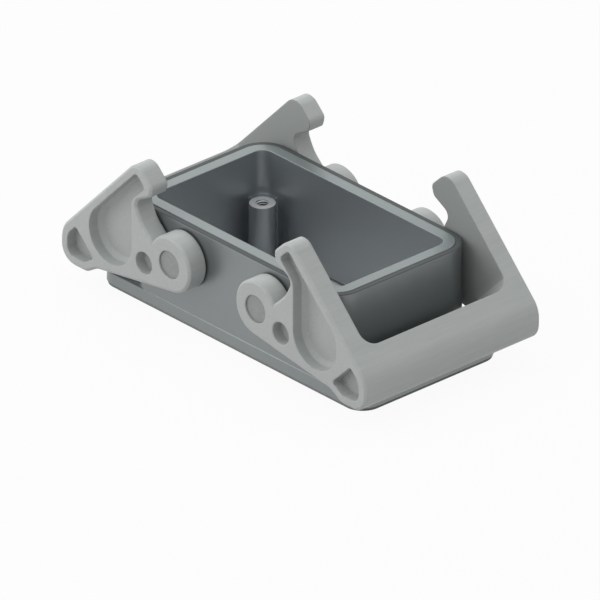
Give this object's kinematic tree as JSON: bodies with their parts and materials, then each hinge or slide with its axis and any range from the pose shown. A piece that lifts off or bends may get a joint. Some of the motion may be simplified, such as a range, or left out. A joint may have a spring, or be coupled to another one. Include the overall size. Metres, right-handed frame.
{
  "type": "connector housing",
  "caption": "Bulkhead mounted die-cast housing of a heavy duty rectangular connector, with a hooked locking lever at each end.",
  "frame": {"origin": "centre of the underside of the panel gasket", "axes": "+X along the long side from the left lever to the right one, +Y from the front long side to the rear, +Z out of the mouth"},
  "size_m": [0.1112, 0.0578, 0.0411],
  "materials": {
    "casting": "grey powder coat, satin",
    "rubber": "matt",
    "lever_plastic": "fine matt, light grey",
    "pin_metal": "dull"
  },
  "bodies": {
    "housing": {"housing": "casting", "rim_seal": "rubber", "panel_gasket": "rubber", "pivot_pin_front_left": "pin_metal", "pivot_pin_rear_left": "pin_metal", "pivot_pin_front_right": "pin_metal", "pivot_pin_rear_right": "pin_metal"},
    "left_lever": {"lever_left": "lever_plastic"},
    "right_lever": {"lever_right": "lever_plastic"}
  },
  "joints": [
    {"name": "left_lever_pivot", "type": "hinge", "parent": "housing", "child": "left_lever", "pos_m": [-0.0157, 0, 0.0186], "axis": [0, 1, 0], "range_deg": [0, 46]},
    {"name": "right_lever_pivot", "type": "hinge", "parent": "housing", "child": "right_lever", "pos_m": [0.0157, 0, 0.0186], "axis": [0, -1, 0], "range_deg": [0, 46]}
  ]
}
